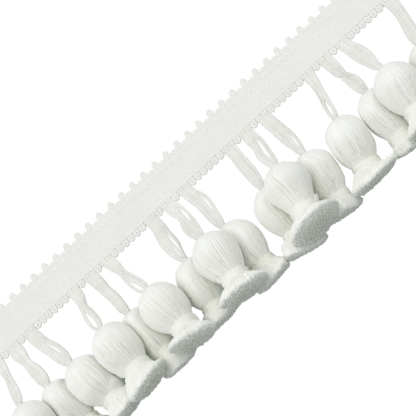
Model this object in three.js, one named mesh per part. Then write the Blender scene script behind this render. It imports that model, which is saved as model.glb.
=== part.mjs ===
// Onion tassel fringe: a cut length of upholstery trim. A woven heading with picots
// along its top edge carries groups of three yarn hangers, and each hanger ends in a
// yarn tassel with a round onion head, a bound neck and a short flared skirt.
//
// Frame, in millimetres: the trim lies face up on the surface z = 0. X runs along the
// heading, +Y points to the picots, the tassels lie towards -Y, and the origin is the
// middle of the heading's back face.
import * as THREE from 'three';

// The repeat: everything along the heading is counted in scallops.
const SCALLOP_PITCH = 2.4;
const PICOT_PITCH = 2 * SCALLOP_PITCH;
const HANGER_PITCH = 3 * SCALLOP_PITCH;
const GROUP_PITCH = 14 * SCALLOP_PITCH;
const GROUPS = 6;
const HANGERS_IN_GROUP = 3;
const TRIM_LENGTH = GROUPS * GROUP_PITCH;

// The woven heading.
const HEADING_THICKNESS = 1.5;
const BAND_EDGE = 6.3;
const SCALLOP_DEPTH = 0.8;
const SCALLOP_SHOULDER = 0.7;
const PICOT_HEIGHT = 1.9;
const PICOT_WIDTH = 2.5;
const PICOT_OFFSET = 0.5;

// The hangers: bundles of fine yarn that leave the heading flat and gather at the head.
const SEAM_GAP = 0.3;
const HANGER_WIDTH = 4.5;
const HANGER_THICKNESS = 1.2;
const KNOT_WIDTH = 2.4;
const HANGER_EASE = 5.0;
const HANGER_SIDES = 6;
const HANGER_SPANS = 5;

// The tassels, measured along the axis from the top of the head.
const HEAD_RADIUS = 7.5;
const NECK_TOP = 16.4;
const NECK_END = 20.2;
const NECK_RADIUS = 4.6;
const NECK_CORE = 3.7;
const TIE_INSIDE = 4.0;
const TIE_OUTSIDE = 4.65;
const CROWN = 1.3;
const TASSEL_SIDES = 12;

// Tassels lie closer than they are wide, so they are pressed flat where they meet. The
// bias is how much of a difference in height goes into moving that place.
const PRESS_GAP = 0.3;
const PRESS_BIAS = 0.35;
const PRESS_SHARPNESS = 10;
const PRESS_REACH = 2;

// One row per tassel, from -X to +X. side is how far the knot has swung sideways from
// its hanger's top, drop is how far it lies below the band's edge, and rise is its
// height. lean and lift turn the head's axis in degrees, sideways and upwards, and bend
// turns the skirt sideways from there. length runs to the rim, rim is its radius, and cut
// and droop are the angles at which the skirt's end was trimmed, sideways and downwards.
const TASSELS = [
  { side: -0.1, drop: 16.7, rise: 11.8, lean: 2, lift: 9, bend: -3, length: 23.6, rim: 8.0, cut: 4, droop: 8 },
  { side: 2.3, drop: 16.9, rise: 7.2, lean: 8, lift: 2, bend: 3, length: 23.5, rim: 7.8, cut: 0, droop: 11 },
  { side: 5.5, drop: 17.2, rise: 9.8, lean: 14, lift: 1, bend: -4, length: 23.6, rim: 8.0, cut: 0, droop: 5 },
  { side: 0.9, drop: 15.9, rise: 11.8, lean: 6, lift: 8, bend: -3, length: 23.9, rim: 8.2, cut: -9, droop: 6 },
  { side: 2.8, drop: 17.2, rise: 7.2, lean: 5.5, lift: 3, bend: -3, length: 23.2, rim: 7.6, cut: 2, droop: 12 },
  { side: 5.3, drop: 16.9, rise: 12.2, lean: 8, lift: 13, bend: -14, length: 23.4, rim: 8.4, cut: 6, droop: 8 },
  { side: 0.8, drop: 17.2, rise: 7.2, lean: -7, lift: 4, bend: -9, length: 22.1, rim: 6.9, cut: -16, droop: 10 },
  { side: 2.4, drop: 16.8, rise: 12.8, lean: 0, lift: 15, bend: -5, length: 23.2, rim: 8.8, cut: 1, droop: 10 },
  { side: 1.7, drop: 17.4, rise: 7.2, lean: 4.5, lift: 2, bend: 8, length: 23.9, rim: 8.0, cut: 8, droop: 12 },
  { side: -0.5, drop: 17.0, rise: 7.2, lean: -4, lift: 2, bend: -17, length: 23.4, rim: 9.0, cut: -7, droop: 8 },
  { side: -0.2, drop: 16.3, rise: 13.5, lean: -8, lift: 15, bend: 6, length: 23.7, rim: 9.0, cut: -4, droop: 0 },
  { side: 1.4, drop: 17.7, rise: 7.2, lean: -6, lift: 4, bend: -3, length: 22.5, rim: 7.9, cut: -2, droop: 10 },
  { side: -3.3, drop: 16.5, rise: 7.4, lean: -10, lift: 2, bend: 8, length: 23.1, rim: 9.4, cut: 3, droop: 11 },
  { side: 1.6, drop: 16.7, rise: 7.2, lean: -4, lift: 1, bend: 0, length: 22.0, rim: 8.0, cut: 4, droop: 10 },
  { side: 2.7, drop: 15.8, rise: 11.8, lean: -5, lift: 9, bend: 1, length: 23.3, rim: 8.0, cut: -3, droop: 8 },
  { side: -3.6, drop: 16.7, rise: 7.4, lean: -5, lift: 2, bend: 4, length: 23.2, rim: 7.8, cut: 2, droop: 10 },
  { side: 0.6, drop: 16.4, rise: 12.4, lean: 2, lift: 11, bend: -5, length: 23.3, rim: 8.3, cut: 5, droop: 8 },
  { side: 1.8, drop: 17.3, rise: 7.2, lean: 5, lift: 2, bend: -4, length: 23.1, rim: 7.7, cut: 0, droop: 10 },
];

// One row per hanger: its widths and its sideways shifts at a fifth, two fifths, three
// fifths and four fifths of the way down.
const HANGERS = [
  { widths: [3.6, 2.7, 3.5, 3.4], sways: [0.4, 0.7, 0.8, 0.7] },
  { widths: [5.2, 3.4, 4.5, 4.4], sways: [0.0, 0.1, 0.4, 0.4] },
  { widths: [4.9, 4.8, 5.2, 4.7], sways: [0.1, 0.2, 0.6, 0.4] },
  { widths: [4.1, 3.1, 4.4, 4.3], sways: [0.3, -0.2, -0.1, 0.1] },
  { widths: [4.5, 3.8, 3.8, 3.6], sways: [0.5, 0.4, 0.5, 0.0] },
  { widths: [4.1, 2.8, 4.1, 4.3], sways: [0.6, 0.3, -0.1, -0.1] },
  { widths: [4.7, 5.5, 5.7, 3.8], sways: [0.3, -0.4, -0.6, -0.7] },
  { widths: [4.9, 4.4, 5.5, 4.4], sways: [0.6, 0.9, 0.0, -0.3] },
  { widths: [4.8, 5.2, 4.8, 3.8], sways: [0.5, 1.2, 0.8, 0.2] },
  { widths: [4.3, 4.5, 4.5, 3.7], sways: [0.1, 0.0, 0.1, 0.0] },
  { widths: [4.8, 4.9, 5.2, 4.0], sways: [0.0, 0.2, -0.4, -0.2] },
  { widths: [4.8, 4.9, 4.8, 3.5], sways: [0.3, 0.3, 0.3, 0.1] },
  { widths: [3.7, 3.0, 3.2, 3.2], sways: [0.0, 0.0, -0.1, -0.1] },
  { widths: [4.5, 3.9, 4.3, 4.0], sways: [-0.1, -0.4, -0.1, -0.1] },
  { widths: [4.6, 5.6, 5.0, 3.2], sways: [0.3, 0.2, -0.3, -0.8] },
  { widths: [4.2, 3.9, 4.3, 4.1], sways: [0.6, 0.7, 0.6, 0.4] },
  { widths: [4.2, 3.8, 4.5, 4.3], sways: [0.1, 0.2, 0.2, 0.1] },
  { widths: [4.5, 4.3, 4.7, 4.3], sways: [-0.1, -0.2, -0.2, -0.1] },
];

const HEADING_COTTON = { color: 0xe8ebe3, roughness: 0.9, metalness: 0.0 };
const HANGER_COTTON = { color: 0xe6e8de, roughness: 0.85, metalness: 0.0 };
const TASSEL_COTTON = { color: 0xf3f4ee, roughness: 0.85, metalness: 0.0 };
const TIE_COTTON = { color: 0xebe8da, roughness: 0.8, metalness: 0.0 };

function degrees(angle) {
  return THREE.MathUtils.degToRad(angle);
}

function nodeName(kind, index) {
  return `${kind}_${String(index + 1).padStart(2, '0')}`;
}

function hangerTopX(index) {
  const group = Math.floor(index / HANGERS_IN_GROUP);
  const place = index % HANGERS_IN_GROUP;
  const groupMiddle = (group - (GROUPS - 1) / 2) * GROUP_PITCH;
  return groupMiddle + (place - (HANGERS_IN_GROUP - 1) / 2) * HANGER_PITCH;
}

// The knot, the head's axis and the two directions across it for one tassel.
function tasselFrame(row, index) {
  const lean = degrees(row.lean);
  const lift = degrees(row.lift);
  const knot = new THREE.Vector3(hangerTopX(index) + row.side, -BAND_EDGE - row.drop, row.rise);
  const axis = new THREE.Vector3(
    Math.sin(lean) * Math.cos(lift),
    -Math.cos(lean) * Math.cos(lift),
    Math.sin(lift),
  );
  const across = new THREE.Vector3(Math.cos(lean), Math.sin(lean), 0);
  const under = new THREE.Vector3().crossVectors(across, axis);
  return { knot, axis, across, under, bend: degrees(row.bend) };
}

const FRAMES = TASSELS.map(tasselFrame);

// The centre line at a place along one tassel: straight through the head, turning evenly
// over the neck, and straight again through the skirt.
function centreLine(frame, along) {
  const turned = frame.bend * THREE.MathUtils.clamp((along - NECK_TOP) / (NECK_END - NECK_TOP), 0, 1);
  const direction = (angle) => frame.axis.clone().multiplyScalar(Math.cos(angle))
    .addScaledVector(frame.across, Math.sin(angle));
  const centre = frame.knot.clone();
  centre.addScaledVector(frame.axis, Math.min(along, NECK_TOP));
  if (along > NECK_TOP) {
    centre.addScaledVector(direction(turned / 2), Math.min(along, NECK_END) - NECK_TOP);
  }
  if (along > NECK_END) {
    centre.addScaledVector(direction(turned), along - NECK_END);
  }
  return { centre, axis: direction(turned), across: direction(turned + Math.PI / 2) };
}

// How far a point may stand from its own tassel's centre line, going out from centre
// along the unit vector outward, until it is only nearer to it than to the neighbour's
// line by the gap.
function roomTowards(neighbour, centre, outward, gap) {
  const offset = centre.clone().sub(neighbour.centre);
  offset.addScaledVector(neighbour.axis, -offset.dot(neighbour.axis));
  const slant = outward.dot(neighbour.axis);
  const direction = outward.clone().addScaledVector(neighbour.axis, -slant);
  const closing = offset.dot(direction) - gap;
  const spare = offset.lengthSq() - gap * gap;
  if (Math.abs(slant) < 1e-6) {
    return closing < 0 ? spare / (-2 * closing) : Infinity;
  }
  const root = Math.sqrt(closing * closing + slant * slant * spare);
  return (closing + root) / (slant * slant);
}

// The radius that the soft yarn keeps there once its neighbours and the surface press it.
// A tassel that lies higher spreads over the lower ones.
function pressedRadius(radius, index, along, centre, outward) {
  let sum = radius ** -PRESS_SHARPNESS;
  for (let step = -PRESS_REACH; step <= PRESS_REACH; step += 1) {
    const neighbour = FRAMES[index + step];
    if (step !== 0 && neighbour) {
      const higher = neighbour.knot.z - FRAMES[index].knot.z;
      const gap = PRESS_GAP + PRESS_BIAS * higher;
      const room = roomTowards(centreLine(neighbour, along), centre, outward, gap);
      sum += room ** -PRESS_SHARPNESS;
    }
  }
  const pressed = sum ** (-1 / PRESS_SHARPNESS);
  const roomBelow = outward.z < 0 ? centre.z / -outward.z : Infinity;
  return Math.min(pressed, roomBelow);
}

// Turns a profile round the tassel's centre line, then presses it against what it lies
// by. A profile row is a place along the line, the radius there, and where the yarn was
// trimmed, its skew sideways and its droop.
function turnedAndPressed(profile, index) {
  const frame = FRAMES[index];
  const points = profile.map((row) => new THREE.Vector2(row.radius, row.along));
  const geometry = new THREE.LatheGeometry(points, TASSEL_SIDES, Math.PI);
  const position = geometry.getAttribute('position');
  for (let i = 0; i < position.count; i += 1) {
    const sideways = position.getX(i);
    const under = position.getZ(i);
    const radius = Math.hypot(sideways, under);
    const { skew = 0, droop = 0 } = profile[i % profile.length];
    const along = position.getY(i) + Math.tan(skew) * sideways - Math.tan(droop) * under;
    const line = centreLine(frame, along);
    const point = line.centre;
    if (radius > 1e-6) {
      const outward = new THREE.Vector3()
        .addScaledVector(line.across, sideways / radius)
        .addScaledVector(frame.under, under / radius);
      const pressed = pressedRadius(radius, index, along, line.centre, outward);
      point.addScaledVector(outward, pressed);
    }
    point.sub(frame.knot);
    position.setXYZ(i, point.dot(frame.across), point.dot(frame.axis), point.dot(frame.under));
  }
  return geometry;
}

function placedOnAxis(geometry, index, material, kind) {
  const frame = FRAMES[index];
  const mesh = new THREE.Mesh(geometry, new THREE.MeshStandardMaterial(material));
  const basis = new THREE.Matrix4().makeBasis(frame.across, frame.axis, frame.under);
  mesh.quaternion.setFromRotationMatrix(basis);
  mesh.position.copy(frame.knot);
  mesh.name = nodeName(kind, index);
  return mesh;
}

// A round head, a sunken neck for the tie, and a skirt that flares to a crowned end.
function makeTassel(row, index) {
  const skew = degrees(row.cut);
  const droop = degrees(row.droop);
  const profile = [
    { along: 0.0, radius: 0.0 },
    { along: 0.6, radius: 2.4 },
    { along: 2.5, radius: 5.0 },
    { along: 5.0, radius: 6.9 },
    { along: 8.4, radius: HEAD_RADIUS },
    { along: 12.4, radius: 6.5 },
    { along: NECK_TOP, radius: NECK_RADIUS },
    { along: NECK_TOP + SEAM_GAP, radius: NECK_CORE },
    { along: NECK_END - SEAM_GAP, radius: NECK_CORE },
    { along: NECK_END, radius: NECK_RADIUS },
    { along: row.length - 1.2, radius: row.rim - 0.6, skew, droop },
    { along: row.length - 0.4, radius: row.rim, skew, droop },
    { along: row.length + 0.6 * CROWN, radius: row.rim - 2.0, skew, droop },
    { along: row.length + CROWN, radius: 0.0 },
  ];
  return placedOnAxis(turnedAndPressed(profile, index), index, TASSEL_COTTON, 'tassel');
}

// The binding round the neck, a band of yarn turns.
function makeTie(row, index) {
  const start = NECK_TOP + 2 * SEAM_GAP;
  const end = NECK_END - 2 * SEAM_GAP;
  const profile = [
    { along: start, radius: TIE_INSIDE },
    { along: start, radius: TIE_OUTSIDE },
    { along: end, radius: TIE_OUTSIDE },
    { along: end, radius: TIE_INSIDE },
    { along: start, radius: TIE_INSIDE },
  ];
  return placedOnAxis(turnedAndPressed(profile, index), index, TIE_COTTON, 'tie');
}

// What a hanger measures t of the way down, with its rows' values between its two ends.
function alongHanger(values, first, last, t) {
  return [first, ...values, last][Math.round(t * HANGER_SPANS)];
}

function hangerWidth(row, t) {
  return alongHanger(row.widths, HANGER_WIDTH, KNOT_WIDTH, t);
}

// A squeezed bundle is thicker where it is narrower, and round at the knot.
function hangerThickness(row, t) {
  const squeezed = HANGER_THICKNESS * Math.sqrt(HANGER_WIDTH / hangerWidth(row, t));
  return Math.min(squeezed, KNOT_WIDTH);
}

function makeHanger(row, index) {
  const { knot, axis, across } = FRAMES[index];
  const slotY = -BAND_EDGE + SCALLOP_DEPTH - SEAM_GAP;
  const top = new THREE.Vector3(hangerTopX(index), slotY, HEADING_THICKNESS / 2);
  const end = knot.clone().addScaledVector(axis, -SEAM_GAP);
  const path = new THREE.CubicBezierCurve3(
    top,
    top.clone().add(new THREE.Vector3(0, -HANGER_EASE, 0)),
    end.clone().addScaledVector(axis, -HANGER_EASE),
    end,
  );
  const geometry = new THREE.CylinderGeometry(1, 1, 1, HANGER_SIDES, HANGER_SPANS);
  geometry.rotateY(Math.PI / HANGER_SIDES);
  const position = geometry.getAttribute('position');
  for (let i = 0; i < position.count; i += 1) {
    const t = 0.5 - position.getY(i);
    const along = path.getTangent(t);
    const wide = new THREE.Vector3(1, 0, 0).lerp(across, t);
    wide.addScaledVector(along, -wide.dot(along)).normalize();
    const thick = new THREE.Vector3().crossVectors(wide, along);
    const sway = alongHanger(row.sways, 0, 0, t);
    const point = path.getPoint(t);
    point.addScaledVector(wide, sway + position.getX(i) * hangerWidth(row, t) / 2);
    point.addScaledVector(thick, position.getZ(i) * -hangerThickness(row, t) / 2);
    position.setXYZ(i, point.x, point.y, point.z);
  }
  const mesh = new THREE.Mesh(geometry, new THREE.MeshStandardMaterial(HANGER_COTTON));
  mesh.name = nodeName('hanger', index);
  return mesh;
}

// The heading's outline: picot loops along the top, scallops along the bottom, and a
// plain slot where each hanger leaves.
function headingOutline() {
  const half = TRIM_LENGTH / 2;
  const valley = -BAND_EDGE + SCALLOP_DEPTH;
  const outline = [[-half, BAND_EDGE], [-half, valley]];
  const slots = TASSELS.map((row, index) => hangerTopX(index));
  const scallops = Math.round(TRIM_LENGTH / SCALLOP_PITCH);
  for (let i = 0; i < scallops; i += 1) {
    const middle = -half + (i + 0.5) * SCALLOP_PITCH;
    const inSlot = slots.some((x) => Math.abs(x - middle) < SCALLOP_PITCH);
    if (!inSlot) {
      outline.push([middle - SCALLOP_PITCH / 2 + 0.1, valley]);
      outline.push([middle - SCALLOP_SHOULDER, -BAND_EDGE + 0.15]);
      outline.push([middle + SCALLOP_SHOULDER, -BAND_EDGE + 0.15]);
      outline.push([middle + SCALLOP_PITCH / 2 - 0.1, valley]);
    }
  }
  outline.push([half, valley], [half, BAND_EDGE]);
  const picots = Math.round(TRIM_LENGTH / PICOT_PITCH);
  for (let i = picots - 1; i >= 0; i -= 1) {
    const middle = -half + (i + 0.5) * PICOT_PITCH + PICOT_OFFSET;
    outline.push([middle + 0.4 * PICOT_WIDTH, BAND_EDGE]);
    outline.push([middle + 0.5 * PICOT_WIDTH, BAND_EDGE + 0.6 * PICOT_HEIGHT]);
    outline.push([middle, BAND_EDGE + PICOT_HEIGHT]);
    outline.push([middle - 0.5 * PICOT_WIDTH, BAND_EDGE + 0.6 * PICOT_HEIGHT]);
    outline.push([middle - 0.4 * PICOT_WIDTH, BAND_EDGE]);
  }
  return outline.map(([x, y]) => new THREE.Vector2(x, y));
}

function makeHeading() {
  const shape = new THREE.Shape(headingOutline());
  const geometry = new THREE.ExtrudeGeometry(shape, {
    depth: HEADING_THICKNESS,
    bevelEnabled: false,
    steps: 1,
  });
  const mesh = new THREE.Mesh(geometry, new THREE.MeshStandardMaterial(HEADING_COTTON));
  mesh.name = 'heading';
  return mesh;
}

const trim = new THREE.Group();
trim.add(makeHeading());
trim.add(...HANGERS.map(makeHanger));
trim.add(...TASSELS.map(makeTassel));
trim.add(...TASSELS.map(makeTie));

export default trim;
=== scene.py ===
"""Onion tassel fringe, the looks: every yarn of the trim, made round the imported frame.

The tables below are in millimetres, and MM turns them into Blender's metres. They repeat
the part's own, but for the way that four of the skirts are trimmed. X runs along the
heading, +Y points to the picots, and the trim lies on z = 0.
"""

import math

import bpy
import numpy as np
from mathutils import Matrix, Vector


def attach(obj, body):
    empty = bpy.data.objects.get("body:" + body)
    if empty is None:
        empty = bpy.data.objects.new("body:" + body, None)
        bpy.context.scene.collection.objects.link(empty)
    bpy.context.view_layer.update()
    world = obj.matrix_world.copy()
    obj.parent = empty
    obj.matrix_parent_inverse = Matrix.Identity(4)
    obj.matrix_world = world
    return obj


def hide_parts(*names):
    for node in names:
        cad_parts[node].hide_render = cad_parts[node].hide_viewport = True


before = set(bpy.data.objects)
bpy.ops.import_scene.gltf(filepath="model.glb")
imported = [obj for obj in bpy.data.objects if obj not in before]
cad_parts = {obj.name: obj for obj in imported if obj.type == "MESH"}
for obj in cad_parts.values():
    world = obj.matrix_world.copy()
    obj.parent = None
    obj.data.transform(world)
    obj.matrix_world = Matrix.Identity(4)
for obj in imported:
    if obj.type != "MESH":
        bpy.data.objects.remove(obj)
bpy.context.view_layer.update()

MM = 0.001
TINY = 1e-9

# The repeat along the heading, counted in scallops, and the woven band.
SCALLOP_PITCH = 2.4
PICOT_PITCH = 2 * SCALLOP_PITCH
HANGER_PITCH = 3 * SCALLOP_PITCH
GROUP_PITCH = 14 * SCALLOP_PITCH
GROUPS = 6
HANGERS_IN_GROUP = 3
TRIM_LENGTH = GROUPS * GROUP_PITCH
SCALLOPS = round(TRIM_LENGTH / SCALLOP_PITCH)
PICOTS = round(TRIM_LENGTH / PICOT_PITCH)
HEADING_THICKNESS = 1.5
BAND_EDGE = 6.3
PICOT_HEIGHT = 1.9
PICOT_WIDTH = 2.5
PICOT_OFFSET = 0.5

# The hangers. HANGER_PLACES are the shares of its length at which each one is measured.
HANGER_WIDTH = 4.7
HANGER_THICKNESS = 1.2
KNOT_WIDTH = 2.4
HANGER_EASE = 5.0
HANGER_PLACES = (0.2, 0.4, 0.6, 0.8)

# The tassels, measured along the axis from the top of the head, and how they press on
# each other where they meet.
NECK_TOP = 16.4
NECK_END = 20.2
PRESS_GAP = 0.12
PRESS_BIAS = 0.35
PRESS_SHARPNESS = 14
PRESS_REACH = 2
OVERLAP = 0.3

# One row per tassel, from -X to +X. side, drop and rise place the top of its head; lean,
# lift and bend turn its axis. length runs to the rim, rim is its radius, cut and droop are
# the slants of the trimmed end, and twist is how far the head's yarns wind round it. All
# angles are in degrees. Some rows name more: full is how much fuller the head is by the
# neck, neck how far it spills over the tie to one side, spill how far the skirt does, and
# soft how round the rim is. over lets a skirt lie over its neighbours', strays is how
# many ends stand out of the rim, and wisps how many stand up by the tie.
TASSEL_COLUMNS = "side drop rise lean lift bend length rim cut droop twist more".split()
TASSEL_ROWS = [
    (-0.1, 16.7, 11.8,   2,  9,  -3, 23.6, 8.0,   4,  8,  14, dict()),
    ( 2.3, 16.9,  7.2,   8,  2,   3, 23.5, 7.8,   0, 11,  -8, dict()),
    ( 5.5, 17.2,  9.8,  14,  1,  -4, 23.6, 8.0,   0,  5,  32, dict(full=1.0, spill=2.0, neck=3.6)),
    ( 0.9, 15.9, 11.8,   6,  8,  -3, 23.9, 8.2,  -9,  6,  10, dict(full=0.6, spill=-1.8, neck=-1.2)),
    ( 2.8, 17.2,  7.2, 5.5,  3,  -3, 23.2, 7.6,   2, 12,   4, dict(full=0.3, neck=-1.6, soft=0.5)),
    ( 5.3, 16.9, 12.2,   8, 13, -14, 23.2, 8.4,   6,  5, -12, dict(full=0.4)),
    ( 0.8, 17.2,  7.2,  -7,  4,  -9, 22.1, 6.9, -16, 10, -10, dict(full=0.5, spill=-1, soft=0.6)),
    ( 2.4, 16.8, 12.8,   0, 15,  -5, 23.2, 8.8,   1, 10,  12, dict()),
    ( 1.7, 17.4,  7.2, 4.5,  2,   8, 22.7, 8.2,   6, 10,   8, dict(soft=0.5)),
    (-0.5, 17.0,  7.2,  -4,  2, -17, 23.4, 9.0,  -7,  8, -14, dict(spill=-1.2, soft=0.7)),
    (-0.2, 16.3, 13.5,  -8, 15,   6, 23.7, 9.0,  -4,  0, -18,
     dict(full=-0.8, soft=1.4, strays=26, wisps=6)),
    ( 1.4, 17.7,  7.2,  -6,  4,  -3, 22.4, 7.9,  -2,  8,  16, dict(soft=0.5)),
    (-3.3, 16.5,  7.4, -10,  2,   8, 22.5, 9.4,  -4,  7,   6,
     dict(full=0.3, spill=-2, soft=0.5, over=16)),
    ( 1.6, 16.7,  7.2,  -4,  1,   0, 22.0, 8.0,   4, 10,  -9, dict(full=-0.4, soft=0.5)),
    ( 2.7, 15.8, 11.8,  -5,  9,   1, 23.3, 8.0,  -3,  8,  28, dict()),
    (-3.6, 16.7,  7.4,  -5,  2,   4, 23.2, 7.8,   2, 10,  10, dict()),
    ( 0.6, 16.4, 12.4,   2, 11,  -5, 23.3, 8.3,   5,  8, -15, dict()),
    ( 1.8, 17.3,  7.2,   5,  2,  -4, 23.1, 7.7,   0, 10,   9, dict()),
]
TASSELS = [dict(zip(TASSEL_COLUMNS, row), **row[-1]) for row in TASSEL_ROWS]

# One row per hanger: its widths and sideways shifts at HANGER_PLACES. turn=1 is where
# some of its yarns cross over. slits are the places where daylight shows between its
# yarns: where across it (-1 to 1), from and to along it (0 to 1), and how wide.
HANGERS = [
    dict(widths=(3.6, 2.7, 3.5, 3.4), sways=(0.4, 0.7, 0.8, 0.7), turn=1),
    dict(widths=(5.2, 3.4, 4.5, 4.4), sways=(0.0, 0.1, 0.4, 0.4)),
    dict(widths=(4.9, 4.8, 5.2, 4.7), sways=(0.1, 0.2, 0.6, 0.4), slits=[(0.3, 0.35, 0.8, 0.9)]),
    dict(widths=(4.1, 3.1, 4.4, 4.3), sways=(0.3, -0.2, -0.1, 0.1), slits=[(-0.3, 0.45, 0.97, 1.6)]),
    dict(widths=(4.5, 3.8, 3.8, 3.6), sways=(0.5, 0.4, 0.5, 0.0)),
    dict(widths=(4.1, 2.8, 4.1, 4.3), sways=(0.6, 0.3, -0.1, -0.1), turn=1,
         slits=[(-0.3, 0.55, 0.98, 1.2)]),
    dict(widths=(4.7, 5.5, 5.7, 3.8), sways=(0.3, -0.4, -0.6, -0.7),
         slits=[(0.55, 0.35, 0.85, 0.9), (-0.3, 0.5, 0.92, 0.5), (0.2, 0.5, 0.95, 0.6)]),
    dict(widths=(4.9, 4.4, 5.5, 4.4), sways=(0.6, 0.9, 0.0, -0.3), slits=[(0.6, 0.18, 0.62, 1.0)]),
    dict(widths=(4.8, 5.2, 4.8, 3.8), sways=(0.5, 1.2, 0.8, 0.2), slits=[(0.6, 0.25, 0.75, 0.7)]),
    dict(widths=(4.3, 4.5, 4.5, 3.7), sways=(0.1, 0.0, 0.1, 0.0)),
    dict(widths=(4.8, 4.9, 5.2, 4.0), sways=(0.0, 0.2, -0.4, -0.2), slits=[(0.4, 0.2, 0.85, 1.1)]),
    dict(widths=(4.8, 4.9, 4.8, 3.5), sways=(0.3, 0.3, 0.3, 0.1), slits=[(0.6, 0.5, 0.85, 0.8)]),
    dict(widths=(3.7, 3.0, 3.2, 3.2), sways=(0.0, 0.0, -0.1, -0.1), slits=[(0.0, 0.5, 0.95, 1.1)]),
    dict(widths=(4.5, 3.9, 4.3, 4.0), sways=(-0.1, -0.4, -0.1, -0.1), turn=1),
    dict(widths=(4.6, 5.6, 5.0, 3.2), sways=(0.3, 0.2, -0.3, -0.8), slits=[(0.5, 0.2, 0.5, 0.4)]),
    dict(widths=(4.2, 3.9, 4.3, 4.1), sways=(0.6, 0.7, 0.6, 0.4)),
    dict(widths=(4.2, 3.8, 4.5, 4.3), sways=(0.1, 0.2, 0.2, 0.1), slits=[(-0.1, 0.45, 0.95, 1.0)]),
    dict(widths=(4.5, 4.3, 4.7, 4.3), sways=(-0.1, -0.2, -0.2, -0.1)),
]

random = np.random.default_rng(20)


# -------- small helpers

def unit(vectors):
    return vectors / np.maximum(np.linalg.norm(vectors, axis=-1, keepdims=True), TINY)


def smooth_step(t):
    t = np.clip(t, 0.0, 1.0)
    return t * t * (3 - 2 * t)


def ease(value, edge, span):
    """0 at the edge, and smoothly to 1 a span from it, which may lie to either side."""
    return smooth_step((value - edge) / span)


def hump(value, middle, spread):
    return np.exp(-((value - middle) / spread) ** 2)


def length_along(lines):
    """The length at each step of lines of points, for arrays of (..., step, axis)."""
    steps = np.linalg.norm(np.diff(lines, axis=-2), axis=-1)
    return np.concatenate([np.zeros(steps.shape[:-1] + (1,)), np.cumsum(steps, axis=-1)], axis=-1)


def curve_through(points, count, samples_per_span=24):
    """A smooth curve through the points, as count points evenly spaced along it."""
    points = np.asarray(points, float)
    ends = np.vstack([2 * points[0] - points[1], points, 2 * points[-1] - points[-2]])
    t = np.linspace(0, 1, samples_per_span, endpoint=False)[:, None]
    spans = []
    for a, b, c, d in zip(ends[:-3], ends[1:-2], ends[2:-1], ends[3:]):
        spans.append(0.5 * (2 * b + (c - a) * t + (2 * a - 5 * b + 4 * c - d) * t**2
                            + (3 * b - a - 3 * c + d) * t**3))
    line = np.vstack(spans + [points[-1:]])
    length = length_along(line)
    at = np.linspace(0, length[-1], count)
    return np.stack([np.interp(at, length, line[:, k]) for k in range(line.shape[1])], axis=1)


# -------- objects and meshes

# How many sides there are round a yarn, a stray end, and a fine yarn or cut end.
YARN_SIDES = 6
STRAY_SIDES = 5
FINE_SIDES = 4


def add_object(name, data):
    made = bpy.data.objects.new(name, data)
    bpy.context.scene.collection.objects.link(made)
    return made


def for_each_point(value, shape):
    """A value for each point of (tube, step, side), from one for all, each tube or each."""
    value = np.asarray(value, float)
    if value.ndim < 3:
        value = np.broadcast_to(value, shape[0])[:, None, None]
    return np.broadcast_to(value, shape).ravel()


def tubes(rings, along, tone, threads=1, shaded=0.0):
    """Closed tubes from rings of points: rings is (tube, step, side, 3), in millimetres.
    along is the length at each step, and threads how many yarns lie side by side round a
    tube. tone is how dull the yarn is, and shaded how much painted shade it takes, for lying
    deep between other yarns or among cut ends, 0 to 1, for each tube or point."""
    count, steps, sides, _ = rings.shape
    index = np.arange(count * steps * sides).reshape(count, steps, sides)
    turned = np.roll(index, -1, axis=2)
    quads = np.stack([index[:, :-1], turned[:, :-1], turned[:, 1:], index[:, 1:]], axis=-1)
    around = threads * np.arange(sides) / sides
    along = np.broadcast_to(along, (count, steps))
    quad_uv = np.zeros(quads.shape + (2,))
    for corner, (step, side) in enumerate([(0, 0), (0, 1), (1, 1), (1, 0)]):
        quad_uv[..., corner, 0] = along[:, step:steps - 1 + step, None]
        quad_uv[..., corner, 1] = around + side * threads / sides
    caps = np.stack([index[:, 0, ::-1], index[:, -1, :]], axis=1)
    cap_uv = np.zeros(caps.shape + (2,))
    cap_uv[:, 0, :, 0] = along[:, :1]
    cap_uv[:, 1, :, 0] = along[:, -1:]
    cap_uv[:, 0, :, 1] = around[::-1]
    cap_uv[:, 1, :, 1] = around
    return dict(
        points=rings.reshape(-1, 3),
        faces=[quads.reshape(-1, 4), caps.reshape(-1, sides)],
        uvs=[quad_uv.reshape(-1, 2), cap_uv.reshape(-1, 2)],
        tone=for_each_point(tone, rings.shape[:3]),
        shaded=for_each_point(shaded, rings.shape[:3]),
    )


def sweep(lines, radius, normals, sides, tone=0.5, shaded=0.0, flat=1.0):
    """Yarns along lines (yarn, step, 3). normals say which way each one's top faces, and
    flat is how thick it is for its width."""
    normals = np.broadcast_to(normals, lines.shape)
    tangent = unit(np.gradient(lines, axis=1))
    across = unit(np.cross(normals, tangent))
    top = np.cross(tangent, across)
    angle = 2 * np.pi * np.arange(sides) / sides - np.pi / 2
    ring = np.cos(angle)[:, None] * across[:, :, None]
    ring = ring + flat * np.sin(angle)[:, None] * top[:, :, None]
    radius = np.broadcast_to(radius, lines.shape[:2])
    rings = lines[:, :, None] + radius[:, :, None, None] * ring
    return tubes(rings, length_along(lines), tone, 1, shaded)


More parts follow.
